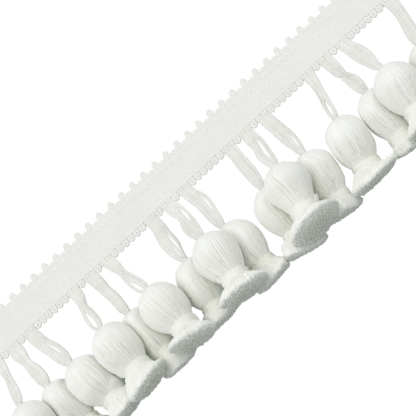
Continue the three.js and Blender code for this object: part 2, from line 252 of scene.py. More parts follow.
def make_piece(name, parts, material):
    """One mesh object out of several parts that tubes() or sweep() made."""
    mesh = bpy.data.meshes.new(name)
    starts = np.cumsum([0] + [len(part["points"]) for part in parts])
    points = np.concatenate([part["points"] for part in parts]) * MM
    faces = [face + start for part, start in zip(parts, starts) for face in part["faces"]]
    sizes = np.concatenate([np.full(len(face), face.shape[1]) for face in faces])
    corners = np.concatenate([face.ravel() for face in faces])
    mesh.vertices.add(len(points))
    mesh.vertices.foreach_set("co", points.astype(np.float32).ravel())
    mesh.loops.add(len(corners))
    mesh.loops.foreach_set("vertex_index", corners.astype(np.int32))
    mesh.polygons.add(len(sizes))
    first = np.concatenate([[0], np.cumsum(sizes)[:-1]])
    mesh.polygons.foreach_set("loop_start", first.astype(np.int32))
    mesh.update(calc_edges=True)
    mesh.shade_smooth()
    uv = np.concatenate([uv for part in parts for uv in part["uvs"]])
    mesh.uv_layers.new(name="thread").data.foreach_set("uv", uv.astype(np.float32).ravel())
    for name_of_value in ("tone", "shaded"):
        values = np.concatenate([part[name_of_value] for part in parts]).astype(np.float32)
        mesh.attributes.new(name_of_value, "FLOAT", "POINT").data.foreach_set("value", values)
    mesh.materials.append(material)
    piece = add_object(name, mesh)
    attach(piece, "root")
    return piece


# -------- materials

# The colour of painted shade down in the grooves between yarns and over the trimmed ends,
# olive for the light that bounces between pale yarns.
PAINTED_SHADE = (0.75, 0.755, 0.635)

# The scales of the noise that makes fibres and the drift of colour, and how far the
# noise that makes streaks is drawn out along a thread and round it.
FIBRE_SCALE = 5200.0
FIBRE_DETAIL = 2.0
DRIFT_SCALE = 90.0
DRIFT_DETAIL = 3.0
STREAK_ALONG = 0.3
STREAK_AROUND = 1.6
STREAK_DETAIL = 2.0
PLIES = 2.0

# How much plies and streaks raise the yarn, against 1 for its fibres, how much the drift
# and a thread's own tone dull its colour, and how much painted shade darkens the grooves
# between plies.
PLY_HEIGHT = 0.2
STREAK_HEIGHT = 1.4
DRIFT_DULLS = 0.6
TONE_DULLS = 0.4
PLY_SHADE = 0.06


def feed(node, inputs):
    """Gives inputs of the node a number, a colour, or another node's output."""
    for name, value in inputs.items():
        if isinstance(value, bpy.types.NodeSocket):
            node.id_data.links.new(value, node.inputs[name])
        else:
            node.inputs[name].default_value = value


def add_node(tree, kind, inputs, **settings):
    node = tree.nodes.new(kind)
    for name, value in settings.items():
        setattr(node, name, value)
    feed(node, inputs)
    return node


def added(first, second):
    tree = first.id_data
    return add_node(tree, "ShaderNodeMath", {0: first, 1: second}, operation="ADD").outputs[0]


def times(first, second):
    tree = first.id_data
    return add_node(tree, "ShaderNodeMath", {0: first, 1: second}, operation="MULTIPLY").outputs[0]


def mixed(factor, first, second):
    inputs = {"Factor": factor, "A": first, "B": second}
    return add_node(factor.id_data, "ShaderNodeMix", inputs, data_type="RGBA").outputs["Result"]


def noise(place, scale, detail):
    inputs = {"Vector": place, "Scale": scale, "Detail": detail}
    return add_node(place.id_data, "ShaderNodeTexNoise", inputs).outputs["Fac"]


def attribute(tree, name):
    return add_node(tree, "ShaderNodeAttribute", {}, attribute_name=name).outputs["Fac"]


def ply_wave(along, around, pitch):
    """A wave from -1 to 1 that winds round the thread with its plies."""
    winding = added(times(along, 1 / pitch), times(around, PLIES))
    turns = {0: times(winding, 2 * math.pi)}
    return add_node(winding.id_data, "ShaderNodeMath", turns, operation="SINE").outputs[0]


def streak_noise(along, around):
    """Noise that is drawn out along the thread."""
    inputs = {0: times(along, STREAK_ALONG), 1: times(around, STREAK_AROUND)}
    strand = add_node(along.id_data, "ShaderNodeCombineXYZ", inputs)
    return noise(strand.outputs[0], 1.0, STREAK_DETAIL)


def yarn_relief(plies, fibres, streak, depth):
    """The surface normal of yarn that its plies, fibres and streaks raise."""
    height = added(times(plies, PLY_HEIGHT), fibres)
    height = added(height, times(streak, STREAK_HEIGHT))
    inputs = {"Strength": 1.0, "Distance": depth * MM, "Height": height}
    return add_node(height.id_data, "ShaderNodeBump", inputs).outputs[0]


def yarn_colour(place, plies, streak, light, shade, streaks):
    """The light colour, duller by drift, thread and streak, with painted shade between the plies, in
    the grooves and over the trimmed ends.
    """
    drift = times(noise(place, DRIFT_SCALE, DRIFT_DETAIL), DRIFT_DULLS)
    tone = times(attribute(place.id_data, "tone"), TONE_DULLS)
    # Painted shade in the grooves between the plies.
    painted_ply_shade = added(times(plies, -PLY_SHADE), PLY_SHADE)
    streaked = added(times(streak, streaks), -streaks / 2)
    dull = added(added(added(drift, tone), painted_ply_shade), streaked)
    colour = mixed(dull, (*light, 1), (*shade, 1))
    # Painted shade: the olive shade colour mixed in as far as the shaded attribute says.
    return mixed(attribute(place.id_data, "shaded"), colour, (*PAINTED_SHADE, 1))


def yarn_material(name, light, shade, ply_pitch, ply_depth, streaks, fuzz):
    """Cotton yarn. Its plies wind along each thread's own length, its fibres are a fine
    fuzz, and its colour drifts a little from thread to thread and along the trim. streaks
    is how much paler and darker fibres show along a thread. Painted shade darkens it
    between its plies, and where its points are shaded."""
    material = bpy.data.materials.new(name)
    material.use_nodes = True
    tree = material.node_tree
    uv = add_node(tree, "ShaderNodeUVMap", {}, uv_map="thread").outputs[0]
    along, around = add_node(tree, "ShaderNodeSeparateXYZ", {0: uv}).outputs[:2]
    place = add_node(tree, "ShaderNodeTexCoord", {}).outputs["Object"]
    plies = ply_wave(along, around, ply_pitch)
    fibres = noise(place, FIBRE_SCALE, FIBRE_DETAIL)
    streak = streak_noise(along, around)
    roughness = {"Value": fibres, "To Min": 0.78, "To Max": 0.98}
    feed(tree.nodes["Principled BSDF"], {
        "Base Color": yarn_colour(place, plies, streak, light, shade, streaks),
        "Normal": yarn_relief(plies, fibres, streak, ply_depth),
        "Roughness": add_node(tree, "ShaderNodeMapRange", roughness).outputs[0],
        "Specular IOR Level": 0.25,
        "Sheen Weight": fuzz,
        "Sheen Roughness": 0.6,
    })
    return material


YARN_LOOKS = dict(
    heading=dict(light=(0.88, 0.885, 0.84), shade=(0.815, 0.82, 0.77),
                 ply_pitch=1.1, ply_depth=0.006, streaks=0.15, fuzz=0.15),
    hanger=dict(light=(0.875, 0.877, 0.835), shade=(0.71, 0.72, 0.665),
                ply_pitch=1.6, ply_depth=0.012, streaks=1.1, fuzz=0.15),
    tassel=dict(light=(0.94, 0.945, 0.915), shade=(0.86, 0.865, 0.80),
                ply_pitch=2.4, ply_depth=0.05, streaks=1.0, fuzz=0.25),
    # The tie's yellower tint is painted shade, for the olive shade at the necks of the lower
    # tassels.
    tie=dict(light=(0.935, 0.94, 0.885), shade=(0.865, 0.872, 0.79),
             ply_pitch=1.3, ply_depth=0.05, streaks=1.0, fuzz=0.2),
)
YARN = {kind: yarn_material(f"{kind}_cotton", **look) for kind, look in YARN_LOOKS.items()}


def stand_for(kind, made_of, index, parts):
    """One piece that stands for a hanger, a tassel or a tie of the frame."""
    piece = make_piece(f"{kind}_{made_of}_{index + 1:02d}", parts, YARN[kind])
    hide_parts(f"{kind}_{index + 1:02d}")


# -------- where the tassels lie

# Where along the axis each part of a tassel sets in or ends, and over what length.
HEAD_FROM = (0.5, 3.0)
HEAD_TO = (NECK_TOP, -4.0)
TOWARDS_NECK = (4.0, 9.0)
PAST_TIE = (NECK_TOP, NECK_END - NECK_TOP)
SKIRT_FROM = (NECK_END, 2.5)
SPILL_FROM = (NECK_TOP + 1, 2.5)
SPILL_TO = (23.5, -2.0)

# The least radius that pressing leaves, and the least slant that is worked with.
LEAST_RADIUS = 0.05
LEAST_SLANT = 1e-4


def hanger_top_x(index):
    group, place = divmod(index, HANGERS_IN_GROUP)
    group_middle = (group - (GROUPS - 1) / 2) * GROUP_PITCH
    return group_middle + (place - (HANGERS_IN_GROUP - 1) / 2) * HANGER_PITCH


def tassel_frame(index):
    row = TASSELS[index]
    lean = math.radians(row["lean"])
    lift = math.radians(row["lift"])
    knot = np.array([hanger_top_x(index) + row["side"], -BAND_EDGE - row["drop"], row["rise"]])
    axis = np.array([math.sin(lean) * math.cos(lift), -math.cos(lean) * math.cos(lift),
                     math.sin(lift)])
    across = np.array([math.cos(lean), math.sin(lean), 0.0])
    return dict(knot=knot, axis=axis, across=across, up=np.cross(axis, across),
                bend=math.radians(row["bend"]))


FRAMES = [tassel_frame(index) for index in range(len(TASSELS))]


def centre_line(place, along):
    """Points on a tassel's centre line, and its two directions in the plane that it
    bends in: straight through the head, turning over the neck, straight in the skirt."""
    along = np.asarray(along, float)
    turned = place["bend"] * np.clip((along - NECK_TOP) / (NECK_END - NECK_TOP), 0, 1)

    def direction(angle):
        return (np.cos(angle)[..., None] * place["axis"]
                + np.sin(angle)[..., None] * place["across"])

    in_head = np.minimum(along, NECK_TOP)[..., None]
    in_neck = (np.clip(along, NECK_TOP, NECK_END) - NECK_TOP)[..., None]
    in_skirt = (np.maximum(along, NECK_END) - NECK_END)[..., None]
    centre = (place["knot"] + in_head * place["axis"] + in_neck * direction(turned / 2)
              + in_skirt * direction(turned))
    return centre, direction(turned), direction(turned + np.pi / 2)


def room_towards(neighbour, along, centre, outward, gap):
    """How far out a point can stand before it is nearer to the neighbour's centre line.
    The gap is kept between the two, and it grows or shrinks as the border moves."""
    start, axis, _ = centre_line(neighbour, along)
    offset = centre - start
    offset = offset - (offset * axis).sum(-1)[..., None] * axis
    slant = (outward * axis).sum(-1)
    direction = outward - slant[..., None] * axis
    closing = (offset * direction).sum(-1) - gap
    spare = (offset * offset).sum(-1) - gap**2
    slant = np.where(np.abs(slant) < LEAST_SLANT, LEAST_SLANT, slant)
    return (closing + np.sqrt(closing**2 + slant**2 * spare)) / slant**2


def pressed(radius, index, along, centre, outward, thickness):
    """The radius that is left once the neighbours and the surface press on the yarn."""
    upward = outward[..., 2]
    total = (radius + thickness) ** -PRESS_SHARPNESS
    for step in range(-PRESS_REACH, PRESS_REACH + 1):
        if step and 0 <= index + step < len(FRAMES):
            neighbour = FRAMES[index + step]
            higher = neighbour["knot"][2] - FRAMES[index]["knot"][2]
            laid_over = TASSELS[index + step].get("over", 0.0) - TASSELS[index].get("over", 0.0)
            tucked_in = laid_over * ease(along, *PAST_TIE) * (OVERLAP + upward)
            gap = PRESS_GAP + PRESS_BIAS * (higher + tucked_in)
            room = room_towards(neighbour, along, centre, outward, gap)
            total = total + room ** -PRESS_SHARPNESS
    room = total ** (-1 / PRESS_SHARPNESS)
    downward = np.maximum(-upward, TINY)
    below = np.where(upward < 0, centre[..., 2] / downward, np.inf)
    return np.maximum(np.minimum(room, below) - thickness, LEAST_RADIUS)


def on_tassel(index, along, radius, angle, thickness, groove=0.0):
    """Points round a tassel's centre line, pressed, and the outward direction there. A
    groove stays as deep where the yarn is pressed."""
    place = FRAMES[index]
    centre, _, across = centre_line(place, along)
    outward = np.cos(angle)[..., None] * across + np.sin(angle)[..., None] * place["up"]
    kept = pressed(radius, index, along, centre, outward, thickness) - groove
    kept = np.maximum(kept, LEAST_RADIUS)
    return centre + kept[..., None] * outward, outward


def skew_of_cut(index, radius, angle):
    """How much longer or shorter a place round the skirt is for the way it was trimmed."""
    row = TASSELS[index]
    return radius * (math.tan(math.radians(row["cut"])) * np.cos(angle)
                     + math.tan(math.radians(row["droop"])) * np.sin(angle))


# -------- outline of a tassel

# The outline of a tassel's body of yarn, as places along the axis and radii: out of the
# dimple that the hanger comes from, over the head and under the tie.
HEAD_ROUTE = [
    (2.4, 0.9), (1.2, 1.1), (0.7, 1.7), (1.0, 2.75), (2.5, 4.95), (5.1, 6.75), (8.4, 7.45),
    (12.4, 6.45), (15.4, 5.0), (16.7, 4.25), (18.5, 4.3), (19.3, 4.7), (20.0, 5.1), (20.9, 5.7),
]
# The soft rim of its skirt, from there: places beyond the length, and beyond the rim. The
# first RIM_RISE of them lead up to its widest place.
RIM_ROUTE = [(-2.3, -1.6), (-1.5, -0.6), (-0.85, -0.05), (-0.35, 0.0), (0.1, -0.5), (0.4, -1.4)]
RIM_RISE = 3
HEAD_CLEARANCE = 0.6
FULLEST_AT = 13.2
FULL_SPREAD = 2.4

# The trimmed end: how far inside the rim it begins, how far its crown stands out, and
# what shares of the crown are lost evenly and close to the rim.
FACE_INSET = 2.6
FACE_MIDDLE = 0.2
FACE_CROWN = 1.3
CROWN_SLOPE = 0.4
CROWN_SHOULDER = 0.9


def face_height(index, radius):
    """How far the trimmed end stands beyond the tassel's length, crowned in the middle."""
    share = radius / TASSELS[index]["rim"]
    return FACE_CROWN * (1 - CROWN_SLOPE * share**2 - CROWN_SHOULDER * share**8)


def rim_of(row):
    soft = row.get("soft", 1.0)
    return [(row["length"] + soft * beyond, row["rim"] + soft * outside)
            for beyond, outside in RIM_ROUTE]


def outline_of(index):
    """Places along the axis and radii, from the dimple to the middle of the end."""
    row = TASSELS[index]
    rim = rim_of(row)
    full = row.get("full", 0.0)
    head = [(along, radius + full * hump(along, FULLEST_AT, FULL_SPREAD))
            for along, radius in HEAD_ROUTE if along < rim[0][0] - HEAD_CLEARANCE]
    face = [(row["length"] + face_height(index, radius), radius)
            for radius in (row["rim"] - FACE_INSET, 0.5 * row["rim"], FACE_MIDDLE)]
    return head + rim + face


def end_height(index, radius):
    """How far the skirt's end stands beyond its length, over the rim and the face."""
    row = TASSELS[index]
    face = [(inside, face_height(index, inside))
            for inside in (0.0, 0.5 * row["rim"], row["rim"] - FACE_INSET)]
    rim = [(outside, along - row["length"]) for along, outside in rim_of(row)[RIM_RISE:]]
    places, heights = zip(*face, *rim[::-1])
    return np.interp(radius, places, heights)


# -------- the yarns of a tassel

YARNS = 66
YARN_SAMPLES = 5
YARN_WIDTHS = (0.6, 1.4)
BODY_STEPS = 40
CUT_STEPS = 4

# How many times along a tassel its yarns' sway, grooves, height and tone change.
SWAY_KNOTS = 9
GROOVE_KNOTS = 14
PROUD_KNOTS = 6
TONE_KNOTS = 14

# How the yarns wander round a tassel, in radians: how far, in how many waves, and how
# much those waves turn along it. The twist is counted from TWIST_FROM of the way.
WANDERS = [(0.045, 5, 5.0), (0.020, 11, -8.0)]
TWIST_FROM = 0.35
WANDER_SEED = 100
YARN_SWAY = 0.022

# Lumps in the form of head and skirt, as a share of the radius and how many go round;
# how far single yarns stand proud; how ragged the rim is, by locks of yarn and by single
# yarns; and where the head spills over the neck.
LUMPS = [(0.016, 2), (0.010, 3)]
SKIRT_LUMPS = 1.5
HEAD_PROUD = 0.07
SKIRT_PROUD = 0.10
LOCKS = 7
LOCK_DRIFT = 5
LOCK_RAG = 0.14
YARN_RAG = 0.16
NECK_BULGE_AT = NECK_TOP - 0.2
NECK_BULGE_SPREAD = 1.3

# The grooves' depth and painted shade, and what share of each there is over the crown, how
# much more towards the neck, and how much more in the skirt.
GROOVE_LEAST = 0.12
GROOVE_MOST = 0.5
GROOVE_FULL_RADIUS = 6
GROOVE_SHARES = (0.3, 1.1, -0.75)
GROOVE_SHADE = 0.9
GROOVE_SHADE_LEAST = 0.25
GROOVE_SHADE_SHARES = (0.15, 0.85, -0.5)
# How far the trimmed end sinks, and how much painted shade it takes, for the shade deep among its
# cut ends.
FACE_SINK = 0.3
FACE_SHADE = 0.35


def wandering(index, start, share):
    """How the yarns' angles drift along the tassel, from the angles they start at."""
    phases = np.random.default_rng(WANDER_SEED + index).uniform(0, 2 * np.pi, len(WANDERS))
    angle = start + math.radians(TASSELS[index]["twist"]) * (share - TWIST_FROM)
    for (reach, waves, drift), phase in zip(WANDERS, phases):
        angle = angle + reach * np.sin(waves * start + phase + drift * share)
    return angle


def drifting(knots, steps, count):
    """Smooth random changes along each of a count of yarns, -1 to 1, as (step, yarn)."""
    value = random.uniform(-1, 1, (knots, count))
    short_of_last = knots - 1.001
    at = np.linspace(0, short_of_last, steps)
    first = at.astype(int)
    share = smooth_step(at - first)[:, None]
    return value[first] * (1 - share) + value[first + 1] * share


def yarn_columns():
    """For each column of points round a tassel: which yarn it is on, how far across the
    yarn, 0 to 1, and at what angle. The yarns have uneven widths."""
    column = np.arange(YARNS * YARN_SAMPLES)
    yarn = column // YARN_SAMPLES
    part = column % YARN_SAMPLES / YARN_SAMPLES
    widths = random.uniform(*YARN_WIDTHS, YARNS)
    edges = np.concatenate([[0], np.cumsum(widths)]) / widths.sum()
    return yarn, part, 2 * np.pi * np.interp(yarn + part, np.arange(YARNS + 1), edges)


def to_one_side(amount, angle):
    """How far yarn is pushed out round a tassel: to +X for an amount above 0, else to -X."""
    return abs(amount) * np.clip(np.cos(angle) * np.sign(amount), 0, 1) ** 2


def yarn_body(index):
    """The laid yarns of one tassel: grooves between them run from the dimple to the rim."""
    row = TASSELS[index]
    yarn, part, start = yarn_columns()
    share = np.linspace(0, 1, BODY_STEPS)[:, None]
    route = curve_through(outline_of(index), BODY_STEPS)
    along = np.tile(route[:, :1], (1, len(yarn)))
    radius = np.tile(route[:, 1:], (1, len(yarn)))
    in_head = ease(along, *HEAD_FROM) * ease(along, *HEAD_TO)
    in_skirt = ease(along, *SKIRT_FROM)

    def between_grooves(value):
        return value[:, yarn] * (1 - part) + np.roll(value, -1, axis=1)[:, yarn] * part

    def by_place(on_crown, to_neck, to_skirt):
        return on_crown + to_neck * ease(along, *TOWARDS_NECK) + to_skirt * in_skirt

    sway = between_grooves(drifting(SWAY_KNOTS, BODY_STEPS, YARNS))
    angle = wandering(index, start, share) + YARN_SWAY * sway
    phase = random.uniform(0, 2 * np.pi, 4)
    lumps = sum(reach * np.sin(waves * angle + phase[k]) for k, (reach, waves) in enumerate(LUMPS))
    radius = radius * (1 + lumps * (in_head + SKIRT_LUMPS * in_skirt))

    some_deeper = random.uniform(0, 1, YARNS)[None] ** 2
    deep = 0.5 * some_deeper + 0.5 * np.abs(drifting(GROOVE_KNOTS, BODY_STEPS, YARNS))
    depth = GROOVE_LEAST + (GROOVE_MOST - GROOVE_LEAST) * between_grooves(deep)
    depth = depth * np.clip(radius / GROOVE_FULL_RADIUS, 0, 1) * by_place(*GROOVE_SHARES)
    groove = depth * (1 - np.sin(np.pi * part))
    # Painted shade down in the grooves between yarns, more where they are deeper and towards the
    # neck.
    painted_groove_shade = (1 - np.sin(np.pi * part)) ** 2
    painted_groove_shade = painted_groove_shade * between_grooves(GROOVE_SHADE_LEAST + (1 - GROOVE_SHADE_LEAST) * deep)
    painted_groove_shade = GROOVE_SHADE * painted_groove_shade * by_place(*GROOVE_SHADE_SHARES)

    proud = drifting(PROUD_KNOTS, BODY_STEPS, YARNS)[:, yarn]
    radius = radius + proud * (HEAD_PROUD * in_head + SKIRT_PROUD * in_skirt)
    over_tie = ease(along, *SPILL_FROM) * ease(along, *SPILL_TO)
    radius = radius + to_one_side(row.get("spill", 0.0), angle) * over_tie
    by_neck = hump(along, NECK_BULGE_AT, NECK_BULGE_SPREAD)
    radius = radius + to_one_side(row.get("neck", 0.0), angle) * by_neck

    lock = np.sin(LOCKS * start + phase[2] + np.sin(LOCK_DRIFT * start + phase[3]))
    ragged = LOCK_RAG * lock + YARN_RAG * random.uniform(-1, 1, YARNS)[yarn]
    rim_at = np.argmax(np.where(route[:, 0] > NECK_END, route[:, 1], 0.0))
    on_face = smooth_step((np.arange(BODY_STEPS)[:, None] - rim_at) / CUT_STEPS)
    along = along + in_skirt * (skew_of_cut(index, radius, angle) + ragged * (1 - on_face))
    along = along - FACE_SINK * on_face
    rings, _ = on_tassel(index, along, radius, angle, LEAST_RADIUS, groove)
    tone = 0.5 + 0.5 * drifting(TONE_KNOTS, BODY_STEPS, YARNS)[None, :, yarn]
    # Painted shade: in the grooves, and over the trimmed end.
    shaded = np.maximum(painted_groove_shade, FACE_SHADE * on_face)
    return tubes(rings[None], length_along(route)[None], tone, YARNS, shaded[None])


# Loose yarns: how much of the outline they follow, how far they drift across the others,
# how deep they lie in them, and how dull the dullest is.
LOOSE_YARNS = 12
LOOSE_STEPS = 22
LOOSE_RADIUS = 0.16
LOOSE_SPAN = (0.04, 0.5)
LOOSE_DRIFT = 0.16
LOOSE_WAVES = 4
LOOSE_SINK = 0.08
LOOSE_DULLEST = 0.6


def loose_yarns(index):
    """A few yarns that lie on top of the others and cross them a little."""
    start = random.uniform(0, 2 * np.pi, (LOOSE_YARNS, 1))
    drift = random.uniform(-LOOSE_DRIFT, LOOSE_DRIFT, (LOOSE_YARNS, 1))
    share = np.linspace(*LOOSE_SPAN, LOOSE_STEPS)
    route = curve_through(outline_of(index), BODY_STEPS)
    at = np.linspace(0, 1, BODY_STEPS)
    along = np.tile(np.interp(share, at, route[:, 0]), (LOOSE_YARNS, 1))
    radius = np.tile(np.interp(share, at, route[:, 1]), (LOOSE_YARNS, 1)) - LOOSE_SINK
    angle = wandering(index, start, share) + drift * np.sin(LOOSE_WAVES * share + start)
    lines, outward = on_tassel(index, along, radius, angle, LOOSE_RADIUS)
    tone = random.uniform(0, LOOSE_DULLEST, LOOSE_YARNS)
    return sweep(lines, LOOSE_RADIUS, outward, FINE_SIDES, tone)


# Cut ends: how far inside the rim the last ones stand, how many there are for a spread of
# 1 mm, how far each is from its even place, the depths and widths along each one, and how
# their painted shade lessens from the middle of the end towards the rim: by how much, from
# and over what share of it.
CUT_INSET = 0.25
CUT_CROWDING = 5.8
CUT_JITTER = dict(radius=0.09, angle=0.03, tip=0.12)
CUT_TIP = 0.14
CUT_SIZES = (0.24, 0.40)
CUT_DEPTHS = np.array([1.0, 0.14, 0.0])
CUT_WIDTHS = np.array([1.0, 0.92, 0.45])
CUT_SPLAY = 0.12
CUT_ROOM = 0.4
CUT_SHADES = (0.5, 1.3)
CUT_LIGHTENS = 0.8
CUT_LIGHT_FROM = (0.5, 0.45)
GOLDEN_ANGLE = math.pi * (3 - math.sqrt(5))


def cut_ends(index):
    """The yarn ends that the shears left, packed over the skirt's crowned end."""
    row = TASSELS[index]
    spread = row["rim"] - CUT_INSET
    count = int(round(CUT_CROWDING * spread**2))
    k = np.arange(count) + 0.5
    radius = np.abs(spread * np.sqrt(k / count) + random.normal(0, CUT_JITTER["radius"], count))
    angle = k * GOLDEN_ANGLE + random.normal(0, CUT_JITTER["angle"], count)
    tip = row["length"] + end_height(index, radius) + skew_of_cut(index, radius, angle)
    tip = tip + random.normal(CUT_TIP, CUT_JITTER["tip"], count)
    size = random.uniform(*CUT_SIZES, count)
    along = tip[:, None] - CUT_DEPTHS
    drawn_in = radius[:, None] * (1 - CUT_SPLAY * CUT_DEPTHS)
    angles = np.tile(angle[:, None], (1, len(CUT_DEPTHS)))
    lines, _ = on_tassel(index, along, drawn_in, angles, CUT_ROOM)
    # Painted shade on the ends: darkest in the middle of the end, lighter towards the rim, and
    # uneven from end to end.
    in_middle = 1 - CUT_LIGHTENS * ease(radius / row["rim"], *CUT_LIGHT_FROM)
    shaded = FACE_SHADE * (in_middle * random.uniform(*CUT_SHADES, count))
    tone = random.uniform(0, 1, count)
    return sweep(lines, size[:, None] * CUT_WIDTHS, FRAMES[index]["across"], FINE_SIDES, tone,
                 shaded)


# Stray ends: how far inside the rim they begin and how far they reach, both along the
# axis and outwards, how far they bend aside, in radians, and how dull the dullest is.
STRAYS = 14
STRAY_STEPS = 5
STRAY_RADIUS = 0.14
STRAY_ANGLES = (0.1 * np.pi, 0.9 * np.pi)
STRAY_ROOT = dict(along=2.2, outward=1.5)
STRAY_REACH = dict(along=(2.1, 2.9), outward=(1.0, 1.7))
STRAY_BEND = 0.12
STRAY_DULLEST = 0.8


def stray_ends(index):
    """Ends that stand out of the rim a little, where the shears missed them."""
    row = TASSELS[index]
    count = row.get("strays", STRAYS)
    angle = random.uniform(*STRAY_ANGLES, (count, 1))
    share = np.linspace(0, 1, STRAY_STEPS)
    root = row["length"] - STRAY_ROOT["along"] + skew_of_cut(index, row["rim"], angle)
    along = root + share * random.uniform(*STRAY_REACH["along"], (count, 1))
    radius = share * random.uniform(*STRAY_REACH["outward"], (count, 1))
    radius = radius + row["rim"] - STRAY_ROOT["outward"]
    bend = random.uniform(-STRAY_BEND, STRAY_BEND, (count, 1)) * share**2
    lines, outward = on_tassel(index, along, radius, angle + bend, STRAY_RADIUS)
    tone = random.uniform(0, STRAY_DULLEST, count)
    return sweep(lines, STRAY_RADIUS, outward, STRAY_SIDES, tone)


# Wisps: between which angles they stand, in degrees, how far each may swing, where they
# begin, and how far they reach back and outwards.
WISP_ANGLES = (36, 56)
WISP_SWING = 2
WISP_ROOT = dict(along=20.6, radius=5.4)
WISP_REACH = (1.9, 3.0)


def wisps(index):
    """Fine ends that stand up where the skirt leaves the tie, and point back to the head."""
    count = TASSELS[index]["wisps"]
    share = np.linspace(0, 1, STRAY_STEPS)
    swing = random.uniform(-WISP_SWING, WISP_SWING, (count, 1)) * (1 + share)
    angle = np.radians(np.linspace(*WISP_ANGLES, count)[:, None] + swing)
    radius = WISP_ROOT["radius"] + share * random.uniform(*WISP_REACH, (count, 1))
    along = WISP_ROOT["along"] - share * random.uniform(*WISP_REACH, (count, 1))
    lines, outward = on_tassel(index, along, radius, angle, STRAY_RADIUS)
    return sweep(lines, STRAY_RADIUS, outward, STRAY_SIDES, 0.0)


def make_tassel(index):
    parts = [yarn_body(index), loose_yarns(index), cut_ends(index), stray_ends(index)]
    if "wisps" in TASSELS[index]:
        parts.append(wisps(index))
    stand_for("tassel", "yarns", index, parts)


# -------- ties

TIE_TURNS = 5.6
TIE_STEPS_PER_TURN = 28
TIE_YARN_RADIUS = 0.36
TIE_RADIUS = 4.3
TIE_OVAL = 0.04
TIE_FROM = NECK_TOP + 0.4
TIE_LENGTH = NECK_END - NECK_TOP - 0.9
TIE_WOBBLE = 0.05
TIE_PHASES = 6
TIE_TUCK = 0.5
TIE_TUCKS_PER_LENGTH = 12


def make_tie(index):
    """One yarn wound round the neck, with both of its ends tucked in."""
    steps = int(TIE_TURNS * TIE_STEPS_PER_TURN)
    share = np.linspace(0, 1, steps)[None]
    angle = 2 * np.pi * TIE_TURNS * share + random.uniform(0, 2 * np.pi)
    wobble = TIE_WOBBLE * np.sin(3 * angle + random.uniform(0, TIE_PHASES))
    along = TIE_FROM + share * TIE_LENGTH + wobble
    out_of_start = smooth_step(share * TIE_TUCKS_PER_LENGTH)
    out_of_end = smooth_step((1 - share) * TIE_TUCKS_PER_LENGTH)
    tucked = TIE_TUCK * (1 - out_of_start * out_of_end)
    radius = TIE_RADIUS + TIE_OVAL * np.sin(2 * angle + 1) - tucked
    lines, outward = on_tassel(index, along, radius, angle, TIE_YARN_RADIUS)
    turns = sweep(lines, TIE_YARN_RADIUS, outward, YARN_SIDES, 0.5)
    stand_for("tie", "turns", index, [turns])


# -------- hangers

HANGER_YARNS = 12
HANGER_STEPS = 27
HANGER_YARN_RADIUS = 0.3
COURSE_LENGTH = 10.0
COURSE_STEPS = 60

# How far it begins inside the heading, and how far it ends inside the head.
HANGER_ROOT = 1.3
HANGER_DIP = 1.2

# Where along it the yarns gather for the knot, and how much narrower and thicker it is.
# There they lie in two layers, which come closer towards its sides.
GATHER = (0.78, 0.2)
GATHER_NARROWS = 0.25
GATHER_THICKENS = 0.7
LAYERS_CLOSE = 0.9

# Where along it yarns cross, over what share, how far apart, and how high the upper goes.
CROSSING_AT = 0.42
CROSSING_SPAN = 0.24
CROSSING_SPREAD = 0.05
CROSSING_LIFT = 0.3

# Waves of the yarns across the hanger and up and down, and how pointed the slits are.
RIPPLE = 0.08
HOLLOW = 0.28
SLIT_POINT = 1.2


def along_hanger(values, first, last, t):
    """A smooth course through values at HANGER_PLACES, from first to last."""
    places = [(0.0, first), *zip(HANGER_PLACES, values), (1.0, last)]
    course = curve_through(np.array(places) * [COURSE_LENGTH, 1.0], COURSE_STEPS)
    return np.interp(t * COURSE_LENGTH, course[:, 0], course[:, 1])


def hanger_line(index, t):
    """The hanger's middle line, from inside the heading to inside the head."""
    place = FRAMES[index]
    top = np.array([hanger_top_x(index), -BAND_EDGE + HANGER_ROOT, HEADING_THICKNESS / 2])
    end = place["knot"] + HANGER_DIP * place["axis"]
    first = top + np.array([0, -HANGER_EASE, 0])
    second = end - HANGER_EASE * place["axis"]
    t = t[:, None]
    return ((1 - t)**3 * top + 3 * (1 - t)**2 * t * first
            + 3 * (1 - t) * t**2 * second + t**3 * end)


def hanger_directions(index, middle, t):
    """Which way the hanger is wide, and which way it is thick, at each step."""
    along = unit(np.gradient(middle, axis=0))
    wide = (1 - t)[:, None] * np.array([1.0, 0, 0]) + t[:, None] * FRAMES[index]["across"]
    wide = unit(wide - (wide * along).sum(1)[:, None] * along)
    return wide, np.cross(wide, along)


def slits_between(slits, slot, t):
    """How far the slits push each yarn aside, and the width that they take in all."""
    aside = np.zeros((len(slot), len(t)))
    taken = np.zeros(len(t))
    for across, start, stop, gap in slits:
        opening = gap * np.sin(np.pi * np.clip((t - start) / (stop - start), 0, 1)) ** SLIT_POINT
        aside = aside + np.where(slot > across, 0.5, -0.5) * opening
        taken = taken + opening
    return aside, taken


